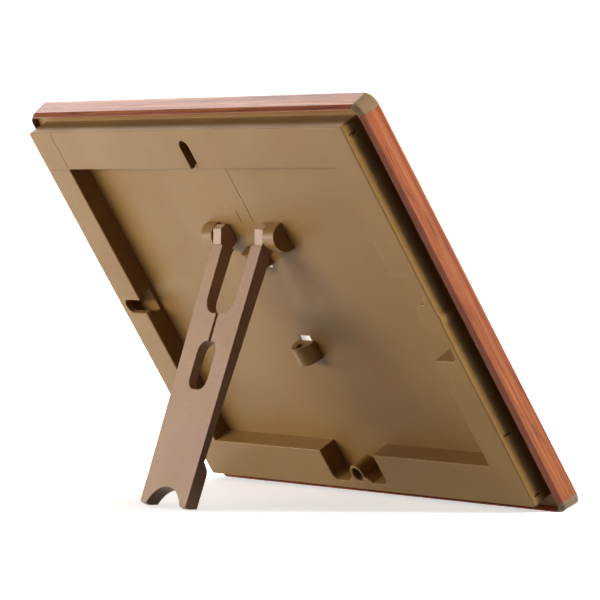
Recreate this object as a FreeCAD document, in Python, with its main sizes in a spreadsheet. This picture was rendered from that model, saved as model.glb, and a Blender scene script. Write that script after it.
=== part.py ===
import FreeCAD, Part
import math
import os
import re

import Sketcher

# A photo frame for a 5 x 7 inch print, standing on the folding leg of its moulded back cover.
# Every piece is modelled lying on its face: X to the right as seen from behind, Y up the frame
# and Z out through the back, with the frame's front face at Z = 0. The placements then stand the
# frame up, leaning back on the bevel of its bottom rail and on the foot of its leg.

SIZES = {
    # print, glazing and card
    "print_width": 178.0,
    "print_height": 127.0,
    "print_clearance": 0.5,
    "glazing_thickness": 1.6,
    "print_thickness": 0.3,
    "card_thickness": 1.3,
    "card_gap": 0.05,
    # rails: one section all round
    "face_border": 18.4,
    "rail_width": 22.4,
    "face_plate": 2.2,
    "rabbet_offset": 17.9,
    "seat_height": 5.5,
    "lip_height": 8.33,
    "lip_inset": 2.35,
    "bevel_inset": 0.95,
    "bevel_start": 6.68,
    "front_edge_height": 0.8,
    "front_edge_inset": 0.9,
    "sight_bevel": 1.0,
    # corner caps
    "corner_radius": 4.8,
    "cap_leg": 5.0,
    "spigot_inset": 1.8,
    "spigot_width": 2.2,
    "spigot_low": 1.6,
    "spigot_high": 4.0,
    "spigot_length": 12.0,
    "spigot_gap": 0.05,
    # back cover
    "cover_width": 202.0,
    "cover_height": 151.0,
    "cover_shift_x": 0.8,
    "cover_shift_y": 1.4,
    "cover_top": 14.4,
    "rim_side": 15.1,
    "rim_end": 15.9,
    "panel_top": 7.1,
    "skin": 1.9,
    "wall": 2.0,
    "solid_half": 20.0,
    "cover_corner": 1.2,
    "rim_edge_radius": 0.5,
    "flange_height": 0.8,
    "flange_gap": 0.3,
    # foot notches and their bosses
    "notch_half": 16.6,
    "notch_depth": 12.6,
    "notch_corner": 2.4,
    "boss_depth": 9.5,
    "boss_radius": 3.9,
    "boss_flare": 7.6,
    "boss_flare_depth": 10.2,
    "plain_boss_radius": 6.1,
    "plain_boss_flare": 9.5,
    "head_bore": 2.65,
    "head_seat": 8.0,
    "shank_hole": 1.7,
    # hanging slots
    "hang_half": 2.85,
    "hang_reach": 11.6,
    "head_half": 4.6,
    "head_reach": 13.2,
    "head_low": 8.6,
    # hinge
    "hinge_up": 28.1,
    "hinge_height": 10.6,
    "lug_start": 16.3,
    "lug_length": 7.0,
    "lug_half": 5.3,
    "lug_centre": 8.1,
    "bore_radius": 1.56,
    "bore_depth": 5.0,
    "window_half": 3.3,
    "window_start": 14.25,
    "window_end": 17.5,
    "window_skin": 0.4,
    "window_relief": 4.0,
    "pin_radius": 1.5,
    "pin_end": 20.9,
    # leg
    "lean": 31.5,
    "open_angle": 51.0,
    "leg_face": 2.25,
    "leg_length": 97.85,
    "leg_half_top": 15.95,
    "leg_half_foot": 14.8,
    "stop_reach": 3.45,
    "stop_flat": 4.33,
    "knuckle_angle": 13.8,
    "knuckle_out": 4.5,
    "knuckle_slot_half": 10.8,
    "step_drop": 0.3,
    "step_down": 2.57,
    "flare_up": 2.75,
    "flare_out": 3.7,
    "nose_up": 4.9,
    "nose_out": 2.57,
    "leg_thin_end": 80.6,
    "leg_back_low": 0.1,
    "foot_ramp": 2.3,
    "foot_back": 2.1,
    "foot_block": 84.4,
    "foot_thick": 2.5,
    "toe_high": 0.3,
    "toe_bevel": 0.45,
    "floor_gap": 0.003,
    "slot_half_top": 9.3,
    "slot_half_low": 9.0,
    "slot_end": 27.7,
    "slot_corner": 6.0,
    "slit_half": 0.8,
    "eye_start": 37.9,
    "eye_end": 55.6,
    "eye_half": 5.75,
    "eye_corner": 4.2,
    "arch_radius": 12.3,
    "arch_top": 90.9,
    "toe_radius": 1.6,
    # cover screw
    "screw_head_radius": 2.5,
    "screw_head_height": 1.9,
    "screw_shank_radius": 1.4,
    "screw_tip": 1.6,
    "recess_arm": 3.2,
    "recess_width": 0.8,
    "recess_depth": 1.1,
}

HALF_WIDTH = "(print_width / 2 + face_border)"
HALF_HEIGHT = "(print_height / 2 + face_border)"
COVER_X = "(cover_width / 2)"
COVER_Y = "(cover_height / 2)"
LIP_EDGE = "(bevel_inset + (lip_height - bevel_start) * tan(lean))"
TILT = "(open_angle - lean)"
PAST = "40"

doc = FreeCAD.newDocument("photo_frame")
sheet = doc.addObject("Spreadsheet::Sheet", "Sizes")
for row, (alias, size) in enumerate(SIZES.items(), start=1):
    sheet.set("A%d" % row, alias)
    sheet.set("B%d" % row, str(size))
    sheet.setAlias("B%d" % row, alias)
doc.recompute()


def value(text):
    """The number that an expression of named sizes comes to."""
    return float(sheet.evalExpression(text))


def bind(item, place, text):
    """Drive one property of a feature from the sheet."""
    words = r"[a-z][a-z_]*[a-z]"
    expression = re.sub(words, lambda m: "Sizes." + m.group() if m.group() in SIZES else m.group(), text)
    item.setExpression(place, expression)


def new_body(label):
    """A part with a label of its own, which also names its file."""
    body = doc.addObject("PartDesign::Body", label)
    body.Label = label
    return body


def sketch_on(body, plane, height="0"):
    """A sketch on one of the body's own origin planes, moved along that plane's normal."""
    item = body.newObject("Sketcher::SketchObject", body.Name + "_sketch")
    support = [feature for feature in body.Origin.OriginFeatures if feature.Role == plane]
    item.AttachmentSupport = [(support[0], "")]
    item.MapMode = "FlatFace"
    bind(item, "AttachmentOffset.Base.z", height)
    return item


def hold_point(item, geometry, end, point):
    """Hold one point of a sketch at a place given by two expressions."""
    for kind, axis, text in (("DistanceX", -2, point[0]), ("DistanceY", -1, point[1])):
        if value(text) == 0:
            item.addConstraint(Sketcher.Constraint("PointOnObject", geometry, end, axis))
        else:
            number = item.addConstraint(Sketcher.Constraint(kind, -1, 1, geometry, end, value(text)))
            bind(item, "Constraints[%d]" % number, text)


def polygon(item, points):
    """A closed loop of straight edges whose corners are held by expressions."""
    first = item.GeometryCount
    corners = [FreeCAD.Vector(value(x), value(y), 0) for x, y in points]
    for index, corner in enumerate(corners):
        following = corners[(index + 1) % len(corners)]
        item.addGeometry(Part.LineSegment(corner, following), False)
    for index in range(len(points)):
        after = first + (index + 1) % len(points)
        item.addConstraint(Sketcher.Constraint("Coincident", first + index, 2, after, 1))
    for index, point in enumerate(points):
        hold_point(item, first + index, 1, point)


def rectangle(item, left, right, low, high):
    polygon(item, [(left, low), (right, low), (right, high), (left, high)])


def circle(item, x, y, radius):
    middle = FreeCAD.Vector(value(x), value(y), 0)
    index = item.addGeometry(Part.Circle(middle, FreeCAD.Vector(0, 0, 1), value(radius)), False)
    hold_point(item, index, 3, (x, y))
    number = item.addConstraint(Sketcher.Constraint("Radius", index, value(radius)))
    bind(item, "Constraints[%d]" % number, radius)


def pad(body, item, length, reverse=False, both_ways=False):
    feature = body.newObject("PartDesign::Pad", body.Name + "_pad")
    feature.Profile = item
    feature.Reversed = reverse
    feature.Midplane = both_ways
    bind(feature, "Length", length)
    item.Visibility = False
    return feature


def pocket(body, item, depth, reverse=False, both_ways=False):
    """Cut a sketch out of the body, and make sure that it does take material away."""
    doc.recompute()
    before = body.Shape.Volume
    feature = body.newObject("PartDesign::Pocket", body.Name + "_pocket")
    feature.Profile = item
    feature.Reversed = reverse
    feature.Midplane = both_ways
    bind(feature, "Length", depth)
    doc.recompute()
    if body.Shape.Volume > before - 1e-6:
        raise RuntimeError("%s cuts nothing" % feature.Name)
    return feature


def round_edges(body, radius, chosen):
    """Fillet the edges of the body's tip that the given test picks by their bounding boxes."""
    doc.recompute()
    tip = body.Tip
    names = []
    for index, edge in enumerate(tip.Shape.Edges, start=1):
        if chosen(edge.BoundBox):
            names.append("Edge%d" % index)
    if not names:
        raise RuntimeError("%s has no such edge" % body.Name)
    feature = body.newObject("PartDesign::Fillet", body.Name + "_fillet")
    feature.Base = (tip, names)
    bind(feature, "Radius", radius)
    doc.recompute()
    return feature


def upright_at(box, x, y, slack=0.05):
    """Whether an edge runs along Z through one of the places (+-x, y)."""
    thin = box.XLength < slack and box.YLength < slack and box.ZLength > slack
    return thin and abs(abs(box.Center.x) - abs(x)) < slack and abs(box.Center.y - y) < slack


# ---- rails -------------------------------------------------------------------------------------

def rail_section():
    """The rail's section, with 0 at the outer face and the sight edge at -rail_width."""
    return [
        ("-rail_width", "sight_bevel"),
        ("-rail_width + sight_bevel", "0"),
        ("-front_edge_inset", "0"),
        ("0", "front_edge_height"),
        ("-bevel_inset", "bevel_start"),
        ("-" + LIP_EDGE, "lip_height"),
        ("-lip_inset", "lip_height"),
        ("-lip_inset", "seat_height"),
        ("-rabbet_offset", "seat_height"),
        ("-rabbet_offset", "face_plate"),
        ("-rail_width", "face_plate"),
    ]


def cut_end(body, side, half_outer, half_sight):
    """Mitre one end of a rail to the sight corner, and cut it square where the cap covers it."""
    corner = "%d * (%s - cap_leg)" % (side, half_outer)
    sight = "%d * (%s)" % (side, half_sight)
    far = "%d * (%s + 5)" % (side, half_outer)
    item = sketch_on(body, "XY_Plane")
    polygon(item, [
        (sight, "-rail_width"),
        (corner, "-cap_leg"),
        (corner, "5"),
        (far, "5"),
        (far, "-rail_width - 5"),
        (sight, "-rail_width - 5"),
    ])
    pocket(body, item, PAST, both_ways=True)


def cut_spigot_socket(body, side, half_outer):
    """The blind socket in the end of a rail for the corner cap's spigot."""
    corner = "%d * (%s - cap_leg)" % (side, half_outer)
    deep = "%d * (%s - cap_leg - spigot_length - 0.5)" % (side, half_outer)
    item = sketch_on(body, "XY_Plane", "spigot_low - spigot_gap")
    rectangle(item, deep, corner, "-spigot_inset - spigot_width - spigot_gap", "-spigot_inset + spigot_gap")
    pocket(body, item, "spigot_high - spigot_low + 2 * spigot_gap", reverse=True)


def build_rail(label, half_outer, half_sight, pilot):
    """A rail along X, its outer face at Y = 0, with a pilot hole where a cover screw goes in."""
    body = new_body(label)
    item = sketch_on(body, "YZ_Plane")
    polygon(item, rail_section())
    pad(body, item, "2 * %s" % half_outer, both_ways=True)
    for side in (-1, 1):
        cut_end(body, side, half_outer, half_sight)
        cut_spigot_socket(body, side, half_outer)
    if pilot:
        item = sketch_on(body, "XY_Plane", "seat_height")
        circle(item, pilot[0], pilot[1], "screw_shank_radius + 0.02")
        pocket(body, item, "seat_height - screw_tip + 0.3")
    crease, height = value("bevel_inset"), value("bevel_start")
    round_edges(body, "0.35", lambda box: box.XLength > 100 and abs(box.Center.z - height) < 0.01
                and abs(box.Center.y + crease) < 0.01)
    return body


# ---- corner caps -------------------------------------------------------------------------------

def cap_section(inner):
    """The rail's section from its outer face inward, drawn about the centre of the corner's arc."""
    return [
        (inner, "0"),
        ("corner_radius - front_edge_inset", "0"),
        ("corner_radius", "front_edge_height"),
        ("corner_radius - bevel_inset", "bevel_start"),
        ("corner_radius - " + LIP_EDGE, "lip_height"),
        ("corner_radius - lip_inset", "lip_height"),
        ("corner_radius - lip_inset", "seat_height"),
        (inner, "seat_height"),
    ]


def build_cap(label):
    """A cap about the centre of its corner's arc, with short legs and a spigot along -X and -Y."""
    body = new_body(label)
    item = sketch_on(body, "XZ_Plane")
    polygon(item, cap_section("0"))
    turn = body.newObject("PartDesign::Revolution", label + "_turn")
    turn.Profile = item
    turn.ReferenceAxis = (item, ["V_Axis"])
    turn.Angle = 90
    turn.Reversed = False
    inner = "corner_radius - cap_leg"
    for plane in ("YZ_Plane", "XZ_Plane"):
        item = sketch_on(body, plane)
        polygon(item, cap_section(inner))
        pad(body, item, "cap_leg - corner_radius", reverse=plane == "YZ_Plane")
    near, far = "corner_radius - spigot_inset - spigot_width", "corner_radius - spigot_inset"
    tip = inner + " - spigot_length"
    for corners in ((tip, inner, near, far), (near, far, tip, inner)):
        item = sketch_on(body, "XY_Plane", "spigot_low")
        rectangle(item, *corners)
        pad(body, item, "spigot_high - spigot_low")
    return body


# ---- back cover --------------------------------------------------------------------------------

def along(side, inward, across):
    """A point of the bottom or right rim: inward from the rim's inner edge, and across."""
    if side == "bottom":
        return (across, "-%s + rim_end - (%s)" % (COVER_Y, inward))
    return ("%s - rim_side + (%s)" % (COVER_X, inward), across)


def opposite(side, inward, across):
    """The same for the top or left rim."""
    if side == "top":
        return (across, "%s - rim_end + (%s)" % (COVER_Y, inward))
    return ("-%s + rim_side - (%s)" % (COVER_X, inward), across)


def block(item, place, side, low, high, half):
    """A rectangle between two distances past the rim's inner edge, +-half across."""
    corners = [(low, "-" + half), (high, "-" + half), (high, half), (low, half)]
    polygon(item, [place(side, *corner) for corner in corners])


def cut_foot_notch(body, side, radius, flare):
    """The notch that takes the folded foot, with its half-round boss in the middle of the far wall."""
    item = sketch_on(body, "XY_Plane", "cover_top")
    block(item, along, side, "-1", "notch_depth", "notch_half")
    pocket(body, item, "cover_top - panel_top")
    corner_x, corner_y = [value(text) for text in along(side, "notch_depth", "notch_half")]
    if side == "bottom":
        round_edges(body, "notch_corner", lambda box: upright_at(box, corner_x, corner_y))
    else:
        round_edges(body, "notch_corner", lambda box: box.ZLength > 1 and box.XLength < 0.01
                    and abs(box.Center.x - corner_x) < 0.05 and abs(abs(box.Center.y) - corner_y) < 0.05)
    item = sketch_on(body, "XY_Plane", "panel_top")
    circle(item, *along(side, "boss_depth", "0"), radius)
    pad(body, item, "cover_top - panel_top")
    item = sketch_on(body, "XY_Plane", "panel_top")
    polygon(item, [along(side, *corner) for corner in (
        ("notch_depth + 1", "-" + flare), ("notch_depth", "-" + flare), ("boss_flare_depth", "-" + radius),
        ("boss_flare_depth", radius), ("notch_depth", flare), ("notch_depth + 1", flare))])
    pad(body, item, "cover_top - panel_top")


def drill_boss(body):
    """The counterbore and shank hole for the cover screw, down the bottom notch's boss."""
    for height, radius, depth in (("cover_top", "head_bore", "cover_top - head_seat"),
                                  ("head_seat", "shank_hole", PAST)):
        item = sketch_on(body, "XY_Plane", height)
        circle(item, *along("bottom", "boss_depth", "0"), radius)
        pocket(body, item, depth)


def cut_hanging_slot(body, side):
    """A slot for a wall screw: the shank's slot in the rim and the head's channel below it."""
    for half, reach, low, high in (("hang_half", "hang_reach", "head_low", "cover_top"),
                                   ("head_half", "head_reach", "head_low", "cover_top - skin")):
        item = sketch_on(body, "XY_Plane", high)
        block(item, opposite, side, "-1", reach, half)
        pocket(body, item, "%s - (%s)" % (high, low))
        end_x, end_y = [value(text) for text in opposite(side, reach, half)]
        across = 1 if side == "top" else 0

        def at_slot_end(box):
            thin = box.XLength < 0.01 and box.YLength < 0.01 and box.ZLength > 0.5
            centre = (abs(box.Center.x) if across else box.Center.x,
                      box.Center.y if across else abs(box.Center.y))
            return thin and abs(centre[0] - end_x) < 0.05 and abs(centre[1] - end_y) < 0.05

        round_edges(body, "%s - 0.02" % half, at_slot_end)


def hollow_rim(body):
    """Core the rim out from the front, leaving it solid round the notches and slots."""
    outer_x, outer_y = "%s - wall" % COVER_X, "%s - wall" % COVER_Y
    inner_x, inner_y = "%s - rim_side + wall" % COVER_X, "%s - rim_end + wall" % COVER_Y
    item = sketch_on(body, "XY_Plane", "seat_height")
    for sign_x in (-1, 1):
        for sign_y in (-1, 1):
            long_cell = [("solid_half", inner_y), (outer_x, inner_y), (outer_x, outer_y), ("solid_half", outer_y)]
            side_cell = [(inner_x, "solid_half"), (outer_x, "solid_half"),
                         (outer_x, inner_y + " - wall"), (inner_x, inner_y + " - wall")]
            for cell in (long_cell, side_cell):
                polygon(item, [("%d * (%s)" % (sign_x, x), "%d * (%s)" % (sign_y, y)) for x, y in cell])
    pocket(body, item, "cover_top - seat_height - skin", reverse=True)


def add_lugs(body, plane, centre, start):
    """A pair of half-round hinge lugs, each with a blind bore that opens on its inner end."""
    for side in (-1, 1):
        normal = side if plane == "YZ_Plane" else -side
        item = sketch_on(body, plane, "%d * lug_start" % normal)
        rectangle(item, "%s - lug_half" % centre, "%s + lug_half" % centre, "panel_top - 0.5", "lug_centre")
        pad(body, item, "lug_length", reverse=normal < 0)
        item = sketch_on(body, plane, "%d * lug_start" % normal)
        circle(item, centre, "lug_centre", "lug_half")
        pad(body, item, "lug_length", reverse=normal < 0)
    # the lower half of each round runs below the panel, where the print's seat has to stay clear
    item = sketch_on(body, "XY_Plane", "seat_height")
    if plane == "YZ_Plane":
        rectangle(item, "-lug_start - lug_length - 1", "lug_start + lug_length + 1",
                  "%s - lug_half - 1" % centre, "%s + lug_half + 1" % centre)
    else:
        rectangle(item, "-lug_half - 1", "lug_half + 1", "-lug_start - lug_length - 1",
                  "lug_start + lug_length + 1")
    pocket(body, item, "10")
    for side in (-1, 1):
        normal = side if plane == "YZ_Plane" else -side
        item = sketch_on(body, plane, "%d * lug_start" % normal)
        circle(item, centre, "hinge_height", "bore_radius")
        pocket(body, item, "bore_depth", reverse=normal > 0)


def cut_windows(body):
    """The windows through the panel at the inner end of each lug, thinned from the front to a skin."""
    skin = "panel_top - seat_height - window_skin"
    for grow, depth in (("window_relief", skin), ("0", "panel_top - seat_height + 0.3")):
        item = sketch_on(body, "XY_Plane", "seat_height")
        across = "(window_half + %s)" % grow
        for side in (-1, 1):
            ends = ["%d * (window_start - %s)" % (side, grow), "%d * window_end" % side]
            rectangle(item, ends[0], ends[1], "hinge_up - %s" % across, "hinge_up + %s" % across)
            rectangle(item, "-" + across, across, ends[0], ends[1])
        pocket(body, item, depth, reverse=True)


def cut_side_slits(body):
    """The short grooves across the cover's two side walls."""
    for side in (-1, 1):
        item = sketch_on(body, "YZ_Plane", "%d * %s" % (side, COVER_X))
        for middle in ("-72", "-47.5", "71.5"):
            rectangle(item, middle + " - 0.4", middle + " + 0.4", "cover_top - 4.6", "cover_top - 1.6")
        pocket(body, item, "0.6", reverse=side < 0)


def cut_gate_marks(body):
    """The shallow witness lines of the mould on the panel, above the hinge."""
    item = sketch_on(body, "XY_Plane", "panel_top")
    rectangle(item, "5.8", "6.1", "hinge_up + 5", "%s - rim_end - 1" % COVER_Y)
    rectangle(item, "-1.9", "-1.6", "hinge_up + 5", "hinge_up + 10")
    pocket(body, item, "0.12")
    # where the recess runs on across one corner of the rim
    corner_x, corner_y = "-%s + rim_side" % COVER_X, "%s - rim_end" % COVER_Y
    item = sketch_on(body, "XY_Plane", "cover_top")
    rectangle(item, corner_x + " - 0.15", corner_x + " + 0.15", corner_y + " + 0.6", COVER_Y + " - 0.6")
    rectangle(item, "-%s + 0.6" % COVER_X, corner_x + " - 0.6", corner_y + " - 0.15", corner_y + " + 0.15")
    pocket(body, item, "0.1")


def add_flange(body):
    """The thin flange that centres the cover between the rails' lips."""
    reach_x, reach_y = ["%s - lip_inset - flange_gap" % half for half in (HALF_WIDTH, HALF_HEIGHT)]
    item = sketch_on(body, "XY_Plane", "seat_height")
    rectangle(item, "-(%s) - cover_shift_x" % reach_x, "%s - cover_shift_x" % reach_x,
              "-(%s) - cover_shift_y" % reach_y, "%s - cover_shift_y" % reach_y)
    pad(body, item, "flange_height")
    round_edges(body, "corner_radius - lip_inset - flange_gap", lambda box: box.ZLength > 0.5)


def build_cover():
    body = new_body("back_cover")
    add_flange(body)
    item = sketch_on(body, "XY_Plane", "seat_height")
    rectangle(item, "-" + COVER_X, COVER_X, "-" + COVER_Y, COVER_Y)
    pad(body, item, "cover_top - seat_height")
    corner_x, corner_y = value(COVER_X), value(COVER_Y)
    round_edges(body, "cover_corner", lambda box: upright_at(box, corner_x, math.copysign(corner_y, box.Center.y)))
    item = sketch_on(body, "XY_Plane", "cover_top")
    rectangle(item, "-%s + rim_side" % COVER_X, "%s - rim_side" % COVER_X,
              "-%s + rim_end" % COVER_Y, "%s - rim_end" % COVER_Y)
    pocket(body, item, "cover_top - panel_top")
    cut_foot_notch(body, "bottom", "boss_radius", "boss_flare")
    cut_foot_notch(body, "right", "plain_boss_radius", "plain_boss_flare")
    drill_boss(body)
    top = value("cover_top")
    round_edges(body, "rim_edge_radius", lambda box: box.ZLength < 0.01 and abs(box.Center.z - top) < 0.01)
    for side in ("top", "left"):
        cut_hanging_slot(body, side)
    hollow_rim(body)
    add_lugs(body, "YZ_Plane", "hinge_up", "lug_start")
    add_lugs(body, "XZ_Plane", "0", "lug_start")
    cut_windows(body)
    cut_side_slits(body)
    cut_gate_marks(body)
    return body


# ---- leg ---------------------------------------------------------------------------------------

def leg_profile():
    """The leg from the side about the hinge axis, folded: the foot at -Y, its outer face at +Z."""
    flat_end = ("stop_reach * sin(open_angle) + stop_flat * cos(open_angle)",
                "-stop_reach * cos(open_angle) + stop_flat * sin(open_angle)")
    # the stop flat and the leg's inner face both touch the round about the hinge axis
    past = "stop_reach * tan((open_angle + knuckle_angle) / 2)"
    corner = ("stop_reach * sin(open_angle) - %s * cos(open_angle)" % past,
              "-stop_reach * cos(open_angle) - %s * sin(open_angle)" % past)
    return [
        ("-leg_length", "leg_face"),
        ("-step_down", "leg_face"),
        ("-step_down", "leg_face - step_drop"),
        ("flare_up", "flare_out"),
        ("nose_up", "nose_out"),
        flat_end,
        corner,
        ("-knuckle_out", "-(stop_reach - knuckle_out * sin(knuckle_angle)) / cos(knuckle_angle)"),
        ("-leg_thin_end", "-leg_back_low"),
        ("-leg_thin_end - foot_ramp", "-foot_back"),
        ("-foot_block", "-foot_thick"),
        ("-leg_length", "-foot_thick"),
    ]


def cut_toe(body):
    """Cut the toe to lie flat on the floor when the leg is open, and bevel its outer edge."""
    drop = "((hinge_up + cover_shift_y + %s - bevel_inset) * cos(lean)" % HALF_HEIGHT
    drop += " + (bevel_start - hinge_height) * sin(lean) - floor_gap)"
    low, high = ["-(%s + %s * sin(%s)) / cos(%s)" % (drop, height, TILT, TILT) for height in ("(-5)", "toe_high")]
    item = sketch_on(body, "YZ_Plane")
    polygon(item, [(low, "-5"), (high, "toe_high"), (high + " + toe_bevel", "leg_face + 0.01"),
                   ("-leg_length - 5", "leg_face + 0.01"), ("-leg_length - 5", "-5")])
    pocket(body, item, PAST, both_ways=True)


def build_leg():
    body = new_body("stand_leg")
    item = sketch_on(body, "YZ_Plane")
    polygon(item, leg_profile())
    pad(body, item, "2 * leg_half_top", both_ways=True)
    knuckle = value("-stop_reach")
    round_edges(body, "stop_reach", lambda box: box.XLength > 30 and box.Center.z < knuckle)
    for side in (-1, 1):
        item = sketch_on(body, "XY_Plane")
        top, foot, past = ["%d * %s" % (side, size) for size in ("leg_half_top", "leg_half_foot", PAST)]
        polygon(item, [(top, "0"), (foot, "-leg_length"), (foot, "-leg_length - 5"), (past, "-leg_length - 5"),
                       (past, "0")])
        pocket(body, item, PAST, both_ways=True)
    foot_x, foot_y = value("leg_half_foot"), value("-leg_length")
    round_edges(body, "toe_radius", lambda box: upright_at(box, foot_x, foot_y))
    cut_toe(body)
    item = sketch_on(body, "YZ_Plane")
    circle(item, "0", "0", "pin_radius")
    pad(body, item, "2 * pin_end", both_ways=True)
    item = sketch_on(body, "XY_Plane")
    polygon(item, [("-slot_half_top", "10"), ("-slot_half_low", "-slot_end"), ("slot_half_low", "-slot_end"),
                   ("slot_half_top", "10")])
    pocket(body, item, PAST, both_ways=True)
    slot_x, slot_y = value("slot_half_low"), value("-slot_end")
    round_edges(body, "slot_corner", lambda box: upright_at(box, slot_x, slot_y))
    item = sketch_on(body, "XY_Plane")
    rectangle(item, "-knuckle_slot_half", "knuckle_slot_half", "-step_down", "10")
    pocket(body, item, PAST, both_ways=True)
    item = sketch_on(body, "XY_Plane")
    rectangle(item, "-eye_half", "eye_half", "-eye_end", "-eye_start")
    pocket(body, item, PAST, both_ways=True)
    eye_x, eye_ends = value("eye_half"), (value("-eye_end"), value("-eye_start"))
    round_edges(body, "eye_corner", lambda box: any(upright_at(box, eye_x, end) for end in eye_ends))
    item = sketch_on(body, "XY_Plane")
    rectangle(item, "-slit_half", "slit_half", "-eye_start - 1", "-slot_end + 1")
    pocket(body, item, PAST, both_ways=True)
    item = sketch_on(body, "XY_Plane")
    circle(item, "0", "-arch_top - arch_radius", "arch_radius")
    pocket(body, item, PAST, both_ways=True)
    return body


# ---- window, print and card --------------------------------------------------------------------

def build_sheet(label, shrink, thickness, height):
    """A flat sheet that lies in the rails' rabbet."""
    box = doc.addObject("Part::Box", label)
    box.Label = label
    bind(box, "Length", "print_width - %s" % shrink)
    bind(box, "Width", "print_height - %s" % shrink)
    bind(box, "Height", thickness)
    start = FreeCAD.Vector(-value("print_width - %s" % shrink) / 2,
                           -value("print_height - %s" % shrink) / 2, value(height))
    return box, start


# ---- cover screw -------------------------------------------------------------------------------

def build_screw():
    """A pan-head screw with a cross recess, its head's seat at Z = 0."""
    head = doc.addObject("Part::Cylinder", "screw_head")
    bind(head, "Radius", "screw_head_radius")
    bind(head, "Height", "screw_head_height")
    shank = doc.addObject("Part::Cylinder", "screw_shank")
    bind(shank, "Radius", "screw_shank_radius")
    bind(shank, "Height", "head_seat - screw_tip")
    bind(shank, "Placement.Base.z", "screw_tip - head_seat")
    tool = doc.addObject("Part::MultiFuse", "screw_joined")
    tool.Shapes = [head, shank]
    for turn, size in enumerate((("recess_arm", "recess_width"), ("recess_width", "recess_arm"))):
        slot = doc.addObject("Part::Box", "screw_recess%d" % turn)
        bind(slot, "Length", size[0])
        bind(slot, "Width", size[1])
        bind(slot, "Height", "recess_depth + 1")
        bind(slot, "Placement.Base.x", "-%s / 2" % size[0])
        bind(slot, "Placement.Base.y", "-%s / 2" % size[1])
        bind(slot, "Placement.Base.z", "screw_head_height - recess_depth")
        cut = doc.addObject("Part::Cut", "screw_cut%d" % turn)
        cut.Base = tool
        cut.Tool = slot
        tool = cut
    tool.Label = "cover_screw"
    return tool


# ---- assembly ----------------------------------------------------------------------------------

def turned(angle):
    return FreeCAD.Rotation(FreeCAD.Vector(0, 0, 1), angle)


def build_all():
    """Every piece with its place on the lying frame."""
    pieces = []
    wide, high = value(HALF_WIDTH), value(HALF_HEIGHT)
    sight_x, sight_y = HALF_WIDTH + " - rail_width", HALF_HEIGHT + " - rail_width"
    shift = FreeCAD.Vector(value("cover_shift_x"), value("cover_shift_y"), 0)
    bottom_pilot = ("-cover_shift_x", "-%s - (-%s + rim_end - boss_depth + cover_shift_y)" % (HALF_HEIGHT, COVER_Y))
    # seen from behind, the frame's own left rail is on the right
    rails = [
        ("rail_top", HALF_WIDTH, sight_x, None, 0, (0, high)),
        ("rail_bottom", HALF_WIDTH, sight_x, bottom_pilot, 180, (0, -high)),
        ("rail_left", HALF_HEIGHT, sight_y, None, -90, (wide, 0)),
        ("rail_right", HALF_HEIGHT, sight_y, None, 90, (-wide, 0)),
    ]
    for label, half, sight, pilot, angle, (x, y) in rails:
        body = build_rail(label, half, sight, pilot)
        pieces.append((body, FreeCAD.Placement(FreeCAD.Vector(x, y, 0), turned(angle))))
    radius = value("corner_radius")
    caps = [
        ("corner_cap_top_left", 0, 1, 1),
        ("corner_cap_top_right", 90, -1, 1),
        ("corner_cap_bottom_right", 180, -1, -1),
        ("corner_cap_bottom_left", -90, 1, -1),
    ]
    for label, angle, sign_x, sign_y in caps:
        place = FreeCAD.Vector(sign_x * (wide - radius), sign_y * (high - radius), 0)
        pieces.append((build_cap(label), FreeCAD.Placement(place, turned(angle))))
    pieces.append((build_cover(), FreeCAD.Placement(shift, turned(0))))
    x, y = [value(text) for text in along("bottom", "boss_depth", "0")]
    pieces.append((build_screw(), FreeCAD.Placement(shift + FreeCAD.Vector(x, y, value("head_seat")), turned(0))))
    glass_top = "(face_plate + glazing_thickness + 0.02)"
    print_top = "(%s + print_thickness + 0.02)" % glass_top
    for label, shrink, thickness, height in (("glazing", "0", "glazing_thickness", "face_plate"),
                                             ("photo_print", "0.4", "print_thickness", glass_top),
                                             ("backing_card", "0.4", "card_thickness", print_top)):
        sheet_piece, start = build_sheet(label, shrink, thickness, height)
        pieces.append((sheet_piece, FreeCAD.Placement(start, turned(0))))
    hinge = shift + FreeCAD.Vector(0, value("hinge_up"), value("hinge_height"))
    opened = FreeCAD.Rotation(FreeCAD.Vector(1, 0, 0), -value("open_angle"))
    pieces.append((build_leg(), FreeCAD.Placement(hinge, opened)))
    return pieces


def standing_turn():
    """Stand the lying frame up, facing -Y, and lean it back."""
    lean = math.radians(value("lean"))
    up_frame = FreeCAD.Vector(0, math.sin(lean), math.cos(lean))
    out_back = FreeCAD.Vector(0, math.cos(lean), -math.sin(lean))
    return FreeCAD.Rotation(FreeCAD.Vector(-1, 0, 0), up_frame, out_back)


def stand_up(pieces):
    """Place every piece so that the origin is the middle of the footprint, on the floor."""
    turn = FreeCAD.Placement(FreeCAD.Vector(0, 0, 0), standing_turn())
    whole = FreeCAD.BoundBox()
    for piece, place in pieces:
        piece.Placement = turn.multiply(place)
    doc.recompute()
    for piece, place in pieces:
        whole.add(piece.Shape.optimalBoundingBox(False, False))
    move = FreeCAD.Vector(-whole.Center.x, -whole.Center.y, -whole.ZMin)
    for piece, place in pieces:
        piece.Placement = FreeCAD.Placement(move + piece.Placement.Base, piece.Placement.Rotation)
    doc.recompute()
    return move


def write_parts(pieces):
    for item in doc.Objects:
        if "Invalid" in item.State or "Error" in item.State:
            raise RuntimeError("%s did not recompute: %s" % (item.Name, item.State))
    os.makedirs("parts", exist_ok=True)
    for piece, place in pieces:
        if piece.Shape.isNull() or not piece.Shape.isValid():
            raise RuntimeError("%s has no valid shape" % piece.Label)
        piece.Shape.exportStep("parts/%s.step" % piece.Label)
        print("%-26s %9.1f mm3, %d solid(s)" % (piece.Label, piece.Shape.Volume, len(piece.Shape.Solids)))


pieces = build_all()
doc.recompute()
stand_up(pieces)
write_parts(pieces)
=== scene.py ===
import math

import bpy
from mathutils import Matrix, Vector

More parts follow.
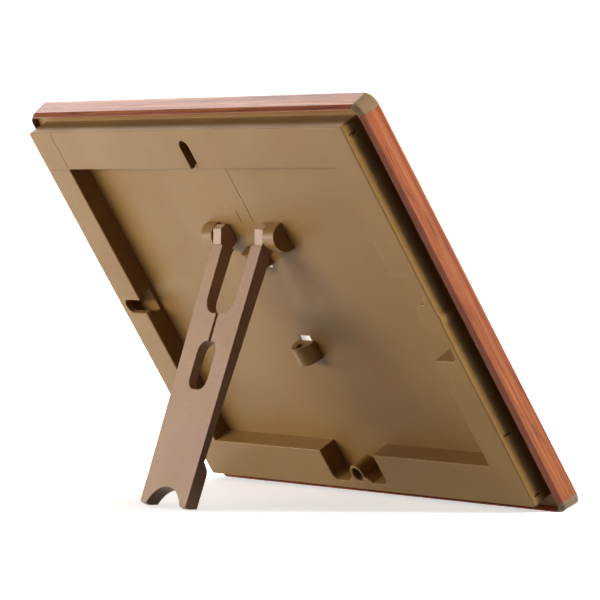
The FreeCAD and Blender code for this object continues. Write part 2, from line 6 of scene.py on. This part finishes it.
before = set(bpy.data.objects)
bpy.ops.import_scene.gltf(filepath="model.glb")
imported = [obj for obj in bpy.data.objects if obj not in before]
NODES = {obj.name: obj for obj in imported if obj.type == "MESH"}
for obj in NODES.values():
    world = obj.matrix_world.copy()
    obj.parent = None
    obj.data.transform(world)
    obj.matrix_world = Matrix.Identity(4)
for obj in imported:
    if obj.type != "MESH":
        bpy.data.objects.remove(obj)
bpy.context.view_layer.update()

LEAN = math.radians(31.5)    # how far the frame leans back
PRINT_TOP = 0.155            # height at which the picture's sky ends
FLOOR_REACH = 12.0
FLOOR_SIDES = 96


# ---- node helpers ------------------------------------------------------------------------------

class Tree:
    """A material's node tree, with one short call per node."""

    def __init__(self, name):
        self.material = bpy.data.materials.new(name)
        self.material.use_nodes = True
        self.nodes = self.material.node_tree.nodes
        self.links = self.material.node_tree.links
        self.nodes.clear()
        self.shader = self.add("ShaderNodeBsdfPrincipled")
        output = self.add("ShaderNodeOutputMaterial")
        self.join(self.shader.outputs["BSDF"], output.inputs["Surface"])

    def add(self, kind, **settings):
        node = self.nodes.new(kind)
        for key, setting in settings.items():
            setattr(node, key, setting)
        return node

    def join(self, source, target):
        self.links.new(source, target)

    def feed(self, target, source):
        """Link a socket, or set a plain value on it."""
        if isinstance(source, bpy.types.NodeSocket):
            self.join(source, target)
        else:
            target.default_value = source

    def place(self, lean=0.0, scale=(1, 1, 1), offset=(0, 0, 0)):
        """The piece's own coordinates, turned back by the lean about X, scaled and moved."""
        where = self.add("ShaderNodeTexCoord")
        mapping = self.add("ShaderNodeMapping", vector_type="POINT")
        mapping.inputs["Rotation"].default_value = (lean, 0, 0)
        self.join(where.outputs["Object"], mapping.inputs["Vector"])
        stretch = self.add("ShaderNodeVectorMath", operation="MULTIPLY")
        stretch.inputs[1].default_value = scale
        self.join(mapping.outputs["Vector"], stretch.inputs[0])
        shift = self.add("ShaderNodeVectorMath", operation="ADD")
        shift.inputs[1].default_value = offset
        self.join(stretch.outputs[0], shift.inputs[0])
        return shift.outputs[0]

    def noise(self, vector, scale, detail=4.0, roughness=0.5, distortion=0.0):
        node = self.add("ShaderNodeTexNoise")
        self.join(vector, node.inputs["Vector"])
        node.inputs["Scale"].default_value = scale
        node.inputs["Detail"].default_value = detail
        node.inputs["Roughness"].default_value = roughness
        node.inputs["Distortion"].default_value = distortion
        return node.outputs["Fac"]

    def spread(self, value, low, high, to_low=0.0, to_high=1.0):
        node = self.add("ShaderNodeMapRange")
        self.join(value, node.inputs["Value"])
        for key, number in (("From Min", low), ("From Max", high), ("To Min", to_low), ("To Max", to_high)):
            node.inputs[key].default_value = number
        return node.outputs["Result"]

    def ramp(self, value, stops):
        node = self.add("ShaderNodeValToRGB")
        self.join(value, node.inputs["Fac"])
        elements = node.color_ramp.elements
        while len(elements) < len(stops):
            elements.new(0.5)
        for element, (position, colour) in zip(elements, stops):
            element.position = position
            element.color = (*colour, 1)
        return node.outputs["Color"]

    def mix(self, factor, first, second):
        node = self.add("ShaderNodeMix", data_type="RGBA")
        self.feed(node.inputs["Factor"], factor)
        self.feed(node.inputs["A"], first if isinstance(first, bpy.types.NodeSocket) else (*first, 1))
        self.feed(node.inputs["B"], second if isinstance(second, bpy.types.NodeSocket) else (*second, 1))
        return node.outputs["Result"]

    def maths(self, operation, first, second):
        node = self.add("ShaderNodeMath", operation=operation)
        self.feed(node.inputs[0], first)
        self.feed(node.inputs[1], second)
        return node.outputs[0]

    def bump(self, height, distance, strength, radius=0.0):
        """Surface relief, over edges softened by the given radius."""
        node = self.add("ShaderNodeBump")
        self.join(height, node.inputs["Height"])
        node.inputs["Distance"].default_value = distance
        node.inputs["Strength"].default_value = strength
        if radius:
            soft = self.add("ShaderNodeBevel", samples=4)
            soft.inputs["Radius"].default_value = radius
            self.join(soft.outputs["Normal"], node.inputs["Normal"])
        self.join(node.outputs["Normal"], self.shader.inputs["Normal"])

    def finish(self, colour, roughness, **constants):
        """Fill the shader: constants are set on its own sockets, with _ for each space in a name."""
        self.feed(self.shader.inputs["Base Color"], colour)
        self.feed(self.shader.inputs["Roughness"], roughness)
        for key, number in constants.items():
            self.shader.inputs[key.replace("_", " ")].default_value = number
        return self.material


# ---- materials ---------------------------------------------------------------------------------

def moulded_plastic(name, colour, roughness, seed, mottle=0.10, edge=0.0003):
    """Satin moulded plastic: flow marks, faint pinkish clouds, a fine speckle and softened edges."""
    tree = Tree(name)
    place = tree.place(LEAN, offset=(seed, seed * 0.7, seed * 1.3))
    flow = tree.noise(place, 16.0, detail=3.0, distortion=0.8)
    dark = tuple(channel * (1 - mottle) for channel in colour)
    light = tuple(min(1.0, channel * (1 + mottle)) for channel in colour)
    base = tree.mix(tree.spread(flow, 0.3, 0.7), dark, light)
    cloud = tree.noise(place, 38.0, detail=4.0, roughness=0.6)
    rosy = (colour[0] * 1.02, colour[1] * 0.94, colour[2] * 1.25)
    base = tree.mix(tree.spread(cloud, 0.48, 0.68, 0.0, 0.5), base, rosy)
    weave = tree.noise(tree.place(LEAN, (240, 1, 1500), (seed, 0, seed)), 1.0, detail=2.0)
    fine = tree.noise(place, 1500.0, detail=2.0)
    speck = tree.mix(tree.spread(fine, 0.3, 0.7, 0.0, 0.30), base,
                     tuple(0.78 * channel for channel in colour))
    speck = tree.mix(tree.spread(weave, 0.35, 0.65, 0.0, 0.16), speck,
                     tuple(0.8 * channel for channel in colour))
    tree.bump(fine, 0.00005, 0.6, radius=edge)
    return tree.finish(speck, tree.spread(cloud, 0.3, 0.7, roughness - 0.06, roughness + 0.07),
                       Specular_IOR_Level=0.27)


def rail_wood(name, along_x, seed):
    """Lacquered red-brown wood: fine grain and pores along the rail, over broad warm and dark bands."""
    tree = Tree(name)
    lean = 0.0 if along_x else LEAN

    def along(rail, across, offset):
        scale = (rail, across, across) if along_x else (across, across, rail)
        return tree.place(lean, scale, offset)

    fine = tree.noise(along(16, 1100, (seed, seed, 0)), 1.0, detail=5.0, roughness=0.65)
    bands = tree.noise(along(3.0, 210, (0, seed, seed)), 1.0, detail=4.0, distortion=0.5)
    pores = tree.noise(along(60, 2600, (seed, 3, 5)), 1.0, detail=2.0)
    colour = tree.ramp(bands, [(0.32, (0.20, 0.052, 0.020)), (0.45, (0.36, 0.105, 0.036)),
                               (0.55, (0.46, 0.165, 0.055)), (0.70, (0.58, 0.25, 0.098))])
    colour = tree.mix(tree.spread(fine, 0.36, 0.62, 0.62, 0.0), colour, (0.19, 0.045, 0.016))
    colour = tree.mix(tree.spread(pores, 0.36, 0.44, 0.6, 0.0), colour, (0.075, 0.02, 0.008))
    tree.bump(fine, 0.00005, 0.35, radius=0.0003)
    return tree.finish(colour, tree.spread(fine, 0.3, 0.7, 0.36, 0.28), Specular_IOR_Level=0.34)


def plated_steel(name):
    """Dull plated steel with a fine brushed relief."""
    tree = Tree(name)
    brushed = tree.noise(tree.place(), 2600.0, detail=3.0)
    colour = tree.mix(tree.spread(brushed, 0.3, 0.7), (0.16, 0.14, 0.12), (0.32, 0.29, 0.26))
    tree.bump(brushed, 0.00003, 0.4, radius=0.0002)
    return tree.finish(colour, tree.spread(brushed, 0.3, 0.7, 0.25, 0.42), Metallic=1.0)


def clear_sheet(name):
    """Clear plastic glazing with a faint haze."""
    tree = Tree(name)
    haze = tree.noise(tree.place(), 18.0, detail=2.0)
    return tree.finish((0.96, 0.98, 0.98, 1), tree.spread(haze, 0.3, 0.7, 0.05, 0.09),
                       Transmission_Weight=1.0, IOR=1.49)


def white_card(name):
    """White card that glows a little, because the windows in the cover let in hardly any light."""
    tree = Tree(name)
    fibre = tree.noise(tree.place(LEAN, (500, 500, 1700)), 1.0, detail=4.0)
    colour = tree.mix(tree.spread(fibre, 0.3, 0.7), (0.86, 0.84, 0.80), (0.93, 0.92, 0.89))
    tree.bump(fibre, 0.00005, 0.3)
    return tree.finish(colour, 0.85, Emission_Color=(1.0, 0.98, 0.95, 1), Emission_Strength=0.45)


def printed_picture(name):
    """A generic picture for the print: a pale sky over three ranges of soft hills."""
    tree = Tree(name)
    place = tree.place(LEAN)
    parts = tree.add("ShaderNodeSeparateXYZ")
    tree.join(place, parts.inputs[0])
    across, up = parts.outputs["X"], parts.outputs["Z"]
    height = tree.spread(up, 0.0, PRINT_TOP)
    cloud = tree.noise(tree.place(LEAN, (14, 1, 34)), 1.0, detail=5.0)
    sky = tree.ramp(height, [(0.35, (0.46, 0.42, 0.34)), (0.7, (0.20, 0.30, 0.40)), (1.0, (0.09, 0.19, 0.33))])
    sky = tree.mix(tree.spread(cloud, 0.52, 0.72, 0.0, 0.7), sky, (0.50, 0.50, 0.48))
    line = tree.add("ShaderNodeCombineXYZ")
    tree.join(across, line.inputs["X"])
    picture = sky
    ranges = ((0.56, 0.16, 16.0, (0.15, 0.21, 0.25)), (0.44, 0.15, 22.0, (0.08, 0.14, 0.10)),
              (0.31, 0.14, 30.0, (0.05, 0.09, 0.035)))
    for index, (level, swing, scale, colour) in enumerate(ranges):
        shift = tree.add("ShaderNodeVectorMath", operation="ADD")
        shift.inputs[1].default_value = (0.3 * index + 1.7, index, 0)
        tree.join(line.outputs[0], shift.inputs[0])
        ridge = tree.noise(shift.outputs[0], scale, detail=6.0, roughness=0.45)
        ridge = tree.spread(ridge, 0.0, 1.0, level - swing, level + swing)
        covered = tree.spread(tree.maths("SUBTRACT", ridge, height), -0.002, 0.002)
        leaf = tree.noise(tree.place(LEAN, offset=(index, 0, 0)), 420.0, detail=5.0)
        shade = tree.mix(tree.spread(leaf, 0.3, 0.7), tuple(0.62 * c for c in colour), colour)
        picture = tree.mix(covered, picture, shade)
    return tree.finish(picture, tree.spread(cloud, 0.3, 0.7, 0.3, 0.36))


def dress(node, material):
    """Give a CAD node its material."""
    for slot in NODES[node].material_slots:
        slot.material = material


cover_plastic = moulded_plastic("cover_plastic", (0.325, 0.186, 0.062), 0.44, 1.0)
leg_plastic = moulded_plastic("leg_plastic", (0.50, 0.33, 0.215), 0.46, 5.0)
cap_plastic = moulded_plastic("cap_plastic", (0.30, 0.20, 0.115), 0.36, 9.0, edge=0.0005)
dress("back_cover", cover_plastic)
dress("stand_leg", leg_plastic)
dress("rail_top", rail_wood("rail_top_wood", True, 2.0))
dress("rail_bottom", rail_wood("rail_bottom_wood", True, 6.0))
dress("rail_left", rail_wood("rail_left_wood", False, 11.0))
dress("rail_right", rail_wood("rail_right_wood", False, 17.0))
for corner in ("top_left", "top_right", "bottom_left", "bottom_right"):
    dress("corner_cap_" + corner, cap_plastic)
dress("cover_screw", plated_steel("screw_steel"))
dress("glazing", clear_sheet("clear_glazing"))
dress("photo_print", printed_picture("picture"))
dress("backing_card", white_card("white_card"))


# ---- floor, light and camera -------------------------------------------------------------------

def build_floor():
    """A round white floor that glows more further from the frame, like a lit studio sweep."""
    mesh = bpy.data.meshes.new("floor")
    turns = [2 * math.pi * step / FLOOR_SIDES for step in range(FLOOR_SIDES)]
    rim = [(FLOOR_REACH * math.cos(turn), FLOOR_REACH * math.sin(turn), 0) for turn in turns]
    mesh.from_pydata(rim, [], [tuple(range(FLOOR_SIDES))])
    floor = bpy.data.objects.new("floor", mesh)
    bpy.context.scene.collection.objects.link(floor)
    tree = Tree("floor_white")
    grain = tree.noise(tree.place(), 30.0, detail=3.0)
    colour = tree.mix(tree.spread(grain, 0.3, 0.7), (0.86, 0.86, 0.86), (0.88, 0.88, 0.88))
    material = tree.finish(colour, 0.9, Specular_IOR_Level=0.1, Emission_Color=(1, 1, 1, 1))
    distance = tree.add("ShaderNodeVectorMath", operation="LENGTH")
    tree.join(tree.place(), distance.inputs[0])
    glow = tree.spread(distance.outputs["Value"], 0.25, 1.0, 0.50, 1.0)
    tree.join(glow, tree.shader.inputs["Emission Strength"])
    floor.data.materials.append(material)
    floor.visible_diffuse = False


def softbox(name, place, target, size, watts, reflected=True):
    """A rectangular area light; one that isn't reflected leaves no bright patch on the glazing."""
    light = bpy.data.lights.new(name, "AREA")
    light.shape = "RECTANGLE"
    light.size, light.size_y = size
    light.energy = watts
    box = bpy.data.objects.new(name, light)
    box.location = place
    box.visible_glossy = reflected
    box.rotation_mode = "QUATERNION"
    box.rotation_quaternion = (Vector(target) - Vector(place)).to_track_quat("-Z", "Y")
    bpy.context.scene.collection.objects.link(box)


def build_world():
    """A white horizon, with light from below that is strong behind the frame and weak on its -X side."""
    world = bpy.data.worlds.new("studio")
    world.use_nodes = True
    nodes, links = world.node_tree.nodes, world.node_tree.links

    def spread(value, low, high, to_low, to_high):
        node = nodes.new("ShaderNodeMapRange")
        links.new(value, node.inputs["Value"])
        for key, number in (("From Min", low), ("From Max", high), ("To Min", to_low), ("To Max", to_high)):
            node.inputs[key].default_value = number
        return node.outputs["Result"]

    def maths(operation, first, second):
        node = nodes.new("ShaderNodeMath")
        node.operation = operation
        links.new(first, node.inputs[0])
        links.new(second, node.inputs[1])
        return node.outputs[0]

    where = nodes.new("ShaderNodeTexCoord")
    parts = nodes.new("ShaderNodeSeparateXYZ")
    links.new(where.outputs["Generated"], parts.inputs[0])
    across, back, up = parts.outputs
    horizon = maths("MULTIPLY", spread(up, -0.10, -0.05, 0.0, 1.0), spread(up, 0.05, 0.12, 1.0, 0.0))
    horizon = maths("MULTIPLY", horizon, spread(across, -0.7, 0.1, 0.10, 1.02))
    below = maths("MULTIPLY", spread(up, -0.10, -0.05, 1.0, 0.0), spread(back, -0.3, 0.8, 0.05, 0.64))
    below = maths("MULTIPLY", below, spread(across, -0.4, 0.6, 0.03, 1.0))
    above = spread(up, 0.05, 0.12, 0.0, 0.05)
    background = nodes["Background"]
    background.inputs["Color"].default_value = (1, 1, 1, 1)
    links.new(maths("ADD", maths("ADD", horizon, below), above), background.inputs["Strength"])
    bpy.context.scene.world = world


def build_camera():
    """The photograph's view: from behind and the -X side, a little above the floor."""
    lens = bpy.data.cameras.new("camera")
    lens.lens = 250.0
    lens.sensor_width = 36.0
    lens.clip_start = 0.05
    lens.clip_end = 50.0
    camera = bpy.data.objects.new("camera", lens)
    camera.location = (-1.22411, 0.81433, 0.12038)
    camera.rotation_mode = "QUATERNION"
    camera.rotation_quaternion = Matrix(((-0.55781, 0.02360, -0.82963), (-0.82993, -0.02559, 0.55728),
                                         (-0.00807, 0.99940, 0.03386))).to_quaternion()
    bpy.context.scene.collection.objects.link(camera)
    bpy.context.scene.camera = camera


build_floor()
build_world()
softbox("overhead", (0.45, -0.85, 1.35), (0, 0.1, 0), (2.0, 1.4), 38.0, reflected=False)
softbox("back_fill", (0.50, 1.1, 0.13), (0, 0, 0.07), (1.3, 0.22), 7.5)
softbox("key_left", (0.42, 0.46, 0.06), (0, 0, 0.11), (0.5, 0.08), 1.0)
softbox("front_right", (-0.75, -0.60, 0.75), (0, 0, 0.07), (0.6, 0.6), 28.0, reflected=False)
softbox("top_gloss", (1.05, -0.28, 0.74), (0, 0, 0.12), (0.9, 0.6), 5.0)
build_camera()
bpy.context.scene.view_settings.view_transform = "Standard"
bpy.context.scene.view_settings.look = "Medium High Contrast"
